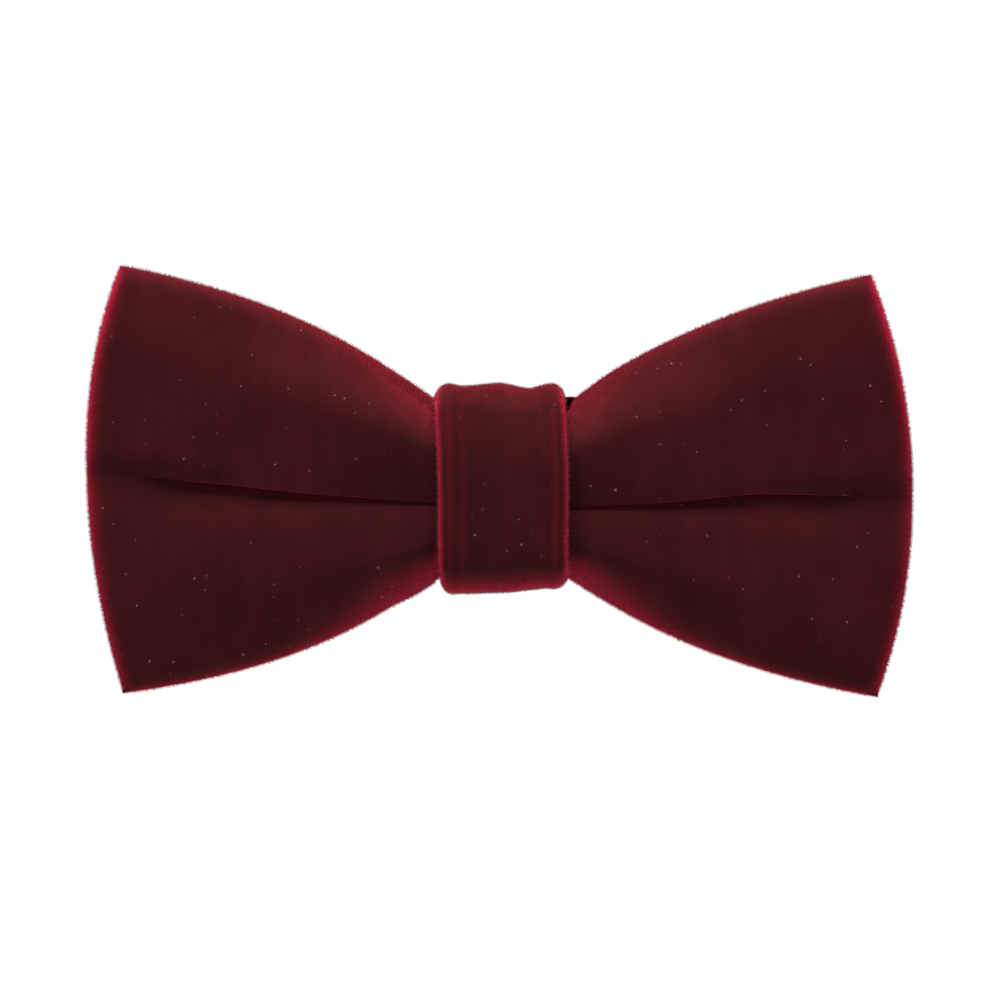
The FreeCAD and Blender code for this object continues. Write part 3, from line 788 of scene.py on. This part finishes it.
def pileTree(material):
    tree = bpy.data.node_groups.new("pileOnEdges", "GeometryNodeTree")
    side = tree.interface
    side.new_socket("Geometry", in_out="INPUT", socket_type="NodeSocketGeometry")
    for name, kind, value in (("Density", "NodeSocketFloat", 2e7), ("Length", "NodeSocketFloat", 0.0005),
                              ("Radius", "NodeSocketFloat", 0.00003), ("Seed", "NodeSocketInt", 1)):
        side.new_socket(name, in_out="INPUT", socket_type=kind).default_value = value
    side.new_socket("Geometry", in_out="OUTPUT", socket_type="NodeSocketGeometry")
    start, end = tree.nodes.new("NodeGroupInput"), tree.nodes.new("NodeGroupOutput")
    link = tree.links.new
    normal = tree.nodes.new("GeometryNodeInputNormal")
    axes = tree.nodes.new("ShaderNodeSeparateXYZ")
    link(normal.outputs[0], axes.inputs[0])
    facing = node(tree, "ShaderNodeMath", operation="ABSOLUTE")
    link(axes.outputs["Y"], facing.inputs[0])
    none, full = pile["facing"]
    turned = node(tree, "ShaderNodeMapRange", {"From Min": none, "From Max": full})
    link(facing.outputs[0], turned.inputs["Value"])
    density = node(tree, "ShaderNodeMath", operation="MULTIPLY")
    link(turned.outputs[0], density.inputs[0])
    edge = node(tree, "GeometryNodeInputNamedAttribute", {"Name": "edge"}, data_type="FLOAT")
    share = node(tree, "ShaderNodeMath", operation="MULTIPLY")
    link(start.outputs["Density"], share.inputs[0])
    link(edge.outputs["Attribute"], share.inputs[1])
    link(share.outputs[0], density.inputs[1])
    scatter = tree.nodes.new("GeometryNodeDistributePointsOnFaces")
    link(start.outputs["Geometry"], scatter.inputs["Mesh"])
    link(density.outputs[0], scatter.inputs["Density"])
    link(start.outputs["Seed"], scatter.inputs["Seed"])
    cone = node(tree, "GeometryNodeMeshCone", {"Vertices": 3, "Side Segments": 1, "Fill Segments": 1})
    link(start.outputs["Radius"], cone.inputs["Radius Bottom"])
    link(start.outputs["Length"], cone.inputs["Depth"])
    tilt = node(tree, "FunctionNodeRandomValue", data_type="FLOAT_VECTOR")
    tilt.inputs[0].default_value = (-pile["lean"], -pile["lean"], 0.0)
    tilt.inputs[1].default_value = (pile["lean"], pile["lean"], 6.28)
    link(start.outputs["Seed"], tilt.inputs["Seed"])
    lean = node(tree, "FunctionNodeRotateRotation", rotation_space="LOCAL")
    link(scatter.outputs["Rotation"], lean.inputs[0])
    link(tilt.outputs[0], lean.inputs[1])
    size = node(tree, "FunctionNodeRandomValue", data_type="FLOAT")
    size.inputs[2].default_value, size.inputs[3].default_value = pile["sizes"]
    place = tree.nodes.new("GeometryNodeInstanceOnPoints")
    link(scatter.outputs["Points"], place.inputs["Points"])
    link(cone.outputs["Mesh"], place.inputs["Instance"])
    link(lean.outputs[0], place.inputs["Rotation"])
    link(size.outputs[1], place.inputs["Scale"])
    real = tree.nodes.new("GeometryNodeRealizeInstances")
    link(place.outputs[0], real.inputs[0])
    paint = node(tree, "GeometryNodeSetMaterial", {"Material": material})
    link(real.outputs[0], paint.inputs["Geometry"])
    link(paint.outputs[0], end.inputs[0])
    return tree


def makePile():
    material = makePileMaterial()
    tree = pileTree(material)
    sockets = {item.name: item.identifier for item in tree.interface.items_tree if item.in_out == "INPUT"}
    for name, face in napped.items():
        tuft = bpy.data.objects.new(name + "Pile", face)
        bpy.context.scene.collection.objects.link(tuft)
        modifier = tuft.modifiers.new("pile", "NODES")
        modifier.node_group = tree
        modifier[sockets["Density"]] = pile[name]["density"]
        modifier[sockets["Length"]] = pile["length"] * mm
        modifier[sockets["Radius"]] = pile["radius"] * mm
        modifier[sockets["Seed"]] = pile[name]["seed"]
        applied(tuft)
        painted(tuft, material)
        print(name, "pile faces", len(tuft.data.polygons))
        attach(tuft, "bow")
    print("pile ready")


makePile()


# The seam behind the knot: short stitches of two-ply thread in a row

seam = {"count": 9, "start": (-7.75, 2.45, -4.0), "pitch": 1.9375, "reach": 1.15, "slant": 0.28,
        "strand": 0.13, "apart": 0.1, "turns": 2.6, "sag": 0.32}


def seamTree(material):
    tree = bpy.data.node_groups.new("seamStitches", "GeometryNodeTree")
    side, link = tree.interface, tree.links.new
    side.new_socket("Geometry", in_out="INPUT", socket_type="NodeSocketGeometry")
    for name, kind, value in (("Count", "NodeSocketInt", seam["count"]),
                              ("Pitch", "NodeSocketFloat", seam["pitch"] * mm),
                              ("Strand", "NodeSocketFloat", seam["strand"] * mm),
                              ("Apart", "NodeSocketFloat", seam["apart"] * mm),
                              ("Turns", "NodeSocketFloat", seam["turns"])):
        side.new_socket(name, in_out="INPUT", socket_type=kind).default_value = value
    side.new_socket("Geometry", in_out="OUTPUT", socket_type="NodeSocketGeometry")
    start, end = tree.nodes.new("NodeGroupInput"), tree.nodes.new("NodeGroupOutput")
    step = tree.nodes.new("ShaderNodeCombineXYZ")
    link(start.outputs["Pitch"], step.inputs["X"])
    row = node(tree, "GeometryNodeMeshLine", {"Start Location": [c * mm for c in seam["start"]]},
               mode="OFFSET")
    link(start.outputs["Count"], row.inputs["Count"])
    link(step.outputs[0], row.inputs["Offset"])
    reach, slant, sag = seam["reach"] * mm, seam["slant"] * mm, seam["sag"] * mm
    path = node(tree, "GeometryNodeCurveQuadraticBezier", {
        "Resolution": 26,
        "Start": (-slant, -sag, -reach),
        "Middle": (0, sag, 0),
        "End": (slant, -sag, reach),
    })
    place = tree.nodes.new("GeometryNodeSplineParameter")
    turn = node(tree, "ShaderNodeMath", operation="MULTIPLY")
    link(place.outputs["Factor"], turn.inputs[0])
    link(start.outputs["Turns"], turn.inputs[1])
    both = tree.nodes.new("GeometryNodeJoinGeometry")
    ring = node(tree, "GeometryNodeCurvePrimitiveCircle", {"Resolution": 6})
    link(start.outputs["Strand"], ring.inputs["Radius"])
    for phase in (0.0, math.pi):
        angle = node(tree, "ShaderNodeMath", {1: 2 * math.pi, 2: phase}, operation="MULTIPLY_ADD")
        link(turn.outputs[0], angle.inputs[0])
        offset = tree.nodes.new("ShaderNodeCombineXYZ")
        for kind, axis in (("COSINE", "X"), ("SINE", "Y")):
            swing = node(tree, "ShaderNodeMath", operation=kind)
            size = node(tree, "ShaderNodeMath", operation="MULTIPLY")
            link(angle.outputs[0], swing.inputs[0])
            link(swing.outputs[0], size.inputs[0])
            link(start.outputs["Apart"], size.inputs[1])
            link(size.outputs[0], offset.inputs[axis])
        twist = tree.nodes.new("GeometryNodeSetPosition")
        link(path.outputs[0], twist.inputs["Geometry"])
        link(offset.outputs[0], twist.inputs["Offset"])
        strand = node(tree, "GeometryNodeCurveToMesh", {"Fill Caps": True})
        link(twist.outputs[0], strand.inputs["Curve"])
        link(ring.outputs[0], strand.inputs["Profile Curve"])
        link(strand.outputs[0], both.inputs[0])
    copies = tree.nodes.new("GeometryNodeInstanceOnPoints")
    link(row.outputs[0], copies.inputs["Points"])
    link(both.outputs[0], copies.inputs["Instance"])
    real = tree.nodes.new("GeometryNodeRealizeInstances")
    link(copies.outputs[0], real.inputs[0])
    paint = node(tree, "GeometryNodeSetMaterial", {"Material": material})
    link(real.outputs[0], paint.inputs["Geometry"])
    link(paint.outputs[0], end.inputs[0])
    return tree


def makeSeam():
    stitches = meshPiece("knotSeamStitches", [(0, 0, 0)], [], thread)
    stitches.modifiers.new("stitches", "NODES").node_group = seamTree(thread)
    applied(stitches)
    painted(stitches, thread)
    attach(stitches, "bow")
    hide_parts("knot_seam_stitches")
    print("seam ready", len(stitches.data.polygons))


makeSeam()


# The clip's springs: the foot and coil stay with the plate, the lever leg goes with its jaw

spring = {
    "pin": (19.0, 3.6),  # x and y, as for the foot, the lever and its shoulder
    "radius": 1.35,
    "wire": 0.3,
    "turns": 5,
    "halfWidth": 2.2,
    "foot": (12.5, 0.32),
    "shoulder": (17.2, 6.9),
    "lever": (11.4, 9.6),
    "leverShare": 0.72,  # how far along the lever the leg presses
    "jawThick": 0.7,
    "shared": 0.35,  # the part of a turn where the leg's wire runs along the coil's
}


def tangentAngle(point, turn):  # of the line from a point that just touches the coil
    acrossX, acrossY = spring["pin"][0] - point[0], spring["pin"][1] - point[1]
    return math.atan2(acrossY, acrossX) + turn * math.asin(spring["radius"] / math.hypot(acrossX, acrossY))


def springLines():  # the coil with its foot, and the leg, as points
    (px, py), (sx, sy), (lx, ly) = spring["pin"], spring["shoulder"], spring["lever"]
    runX, runY = lx - sx, ly - sy
    gap = (spring["jawThick"] / 2 + spring["wire"] + 0.03) / math.hypot(runX, runY)
    hold = (sx + runX * spring["leverShare"] - runY * gap, sy + runY * spring["leverShare"] + runX * gap)
    first = tangentAngle(spring["foot"], -1) - math.pi / 2
    last = tangentAngle(hold, 1) + math.pi / 2 + 2 * math.pi * (spring["turns"] - 1)

    def onCoil(turn):
        z = spring["halfWidth"] * (2 * (turn - first) / (last - first) - 1)
        return (px + spring["radius"] * math.cos(turn), py + spring["radius"] * math.sin(turn), z)

    split = last - 2 * math.pi * spring["shared"]
    foot = (*spring["foot"], -spring["halfWidth"])
    start = onCoil(first)
    coil = [tuple(mix(a, b, i / 8) for a, b in zip(foot, start)) for i in range(8)]
    turns = [mix(first, last, i / 150) for i in range(150)]
    coil += [onCoil(turn) for turn in turns if turn < split + 0.6]
    leg = [onCoil(mix(split, last, i / 14)) for i in range(15)]
    tip = (*hold, spring["halfWidth"])
    return coil, leg + [tuple(mix(a, b, (i + 1) / 8) for a, b in zip(leg[-1], tip)) for i in range(8)]


def wireMesh(name, line, radius, material):  # a round wire along points, with domed ends
    points, faces, sides = [], [], 12
    line = [Vector(p) for p in line]
    across = Vector((0, 0, 1))
    rings = []
    for i, point in enumerate(line):
        ahead = (line[min(i + 1, len(line) - 1)] - line[max(i - 1, 0)]).normalized()
        across = (across - ahead * across.dot(ahead)).normalized()
        rings.append((point, ahead, across.copy(), radius))

    def dome(ring, t, way):
        point, ahead, side, size = ring
        return (point + way * ahead * radius * (1 - t), ahead, side, size * math.sqrt(1 - (1 - t) ** 2))

    start, end = rings[0], rings[-1]
    rings = [dome(start, t, -1) for t in (0.35, 0.75)] + rings + [dome(end, t, 1) for t in (0.75, 0.35)]
    for point, ahead, side, size in rings:
        other = ahead.cross(side)
        for k in range(sides):
            turn = 2 * math.pi * k / sides
            points.append(point + (side * math.cos(turn) + other * math.sin(turn)) * size)
    for i in range(len(rings) - 1):
        for k in range(sides):
            a, b = i * sides + k, i * sides + (k + 1) % sides
            faces.append((a, b, b + sides, a + sides))
    faces += [tuple(range(sides))[::-1], tuple(range(len(points) - sides, len(points)))]
    return outward(meshPiece(name, points, faces, material))


def makeSprings():
    coil, leg = springLines()
    for side, sign in (("left", -1), ("right", 1)):
        for part, line, body, size in (("Coil", coil, "bow", 1.0), ("Leg", leg, f"jaw_{side}", 0.985)):
            line = [(sign * x, y, z) for x, y, z in line]
            piece = wireMesh(f"spring{part}{side.title()}", line, spring["wire"] * size, springSteel)
            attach(piece, body)
            if part == "Coil":
                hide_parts(f"clip_spring_{side}")
    print("springs ready")


makeSprings()


# The thread wound round the waist, under the knot

binding = {"turns": 5, "pitch": 0.62, "thread": 0.2, "y": (-12.9, -1.08), "z": (-12.6, 12.45),
           "frontCorner": (4.0, 6.0), "backCorner": 1.0}  # front corners: bottom and top


def makeBinding():
    (near, far), (low, high) = binding["y"], binding["z"]
    (small, large), back = binding["frontCorner"], binding["backCorner"]
    ring = []
    for y, z, radius, start in (
        (far - back, low + back, back, 270), (far - back, high - back, back, 0),
        (near + large, high - large, large, 90), (near + small, low + small, small, 180),
    ):
        for step in range(13):
            turn = math.radians(start + 7.5 * step)
            ring.append((y + radius * math.cos(turn), z + radius * math.sin(turn)))
    line = []
    for turn in range(binding["turns"]):
        for i, (y, z) in enumerate(ring):
            x = (turn + i / len(ring) - binding["turns"] / 2) * binding["pitch"]
            line.append((x, y, z))
    piece = wireMesh("waistBinding", line, binding["thread"], thread)
    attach(piece, "bow")
    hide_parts("waist_binding")
    print("binding ready")


makeBinding()


# The pieces that keep their exact shape

for name, material in (
    ("centre_seam_stitches", thread), ("clip_tack_stitches", thread),
    ("clip_plate", plateSteel), ("clip_jaw_left", jawSteel), ("clip_jaw_right", jawSteel),
    ("clip_pin_left", pinSteel), ("clip_pin_right", pinSteel),
    ("jaw_pad_left", rubber), ("jaw_pad_right", rubber),
):
    painted(bpy.data.objects[name], material)


# Studio

studio = {
    "lens": 85.0,
    "frameWidth": 144.4,
    "aim": (-0.07, -1.8),  # x and z of the view's middle
    "floorZ": -140.0,
    "worldStrength": 1.06,
    "keyPlace": (-0.03, -0.09, 0.50),
    "keySize": 0.28,
    "keyPower": 21.0,
}


def makeStudio():
    scene = bpy.context.scene
    camera = bpy.data.objects.new("camera", bpy.data.cameras.new("camera"))
    scene.collection.objects.link(camera)
    camera.data.lens = studio["lens"]
    distance = studio["frameWidth"] * studio["lens"] / camera.data.sensor_width
    camera.location = Vector((studio["aim"][0], -distance - 7, studio["aim"][1])) * mm
    camera.rotation_euler = (math.pi / 2, 0, 0)
    camera.data.clip_start = 0.01
    scene.camera = camera
    world = bpy.data.worlds.new("studio")
    scene.world = world
    world.use_nodes = True
    world.node_tree.nodes["Background"].inputs["Color"].default_value = (1, 1, 1, 1)
    world.node_tree.nodes["Background"].inputs["Strength"].default_value = studio["worldStrength"]
    scene.view_settings.view_transform = "Standard"
    key = bpy.data.objects.new("keyLight", bpy.data.lights.new("keyLight", "AREA"))
    scene.collection.objects.link(key)
    key.data.size = studio["keySize"]
    key.data.energy = studio["keyPower"]
    key.location = studio["keyPlace"]
    key.rotation_euler = Vector(-key.location).to_track_quat("-Z", "Y").to_euler()
    bpy.ops.mesh.primitive_plane_add(size=4, location=(0, 0, studio["floorZ"] * mm))
    floor = bpy.context.object
    floor.name = "floor"
    material, tree, shader = newMaterial("paleFloor")
    shader.inputs["Base Color"].default_value = (0.97, 0.97, 0.97, 1)
    shader.inputs["Roughness"].default_value = 0.8
    floor.data.materials.append(material)
    print("studio ready")


makeStudio()
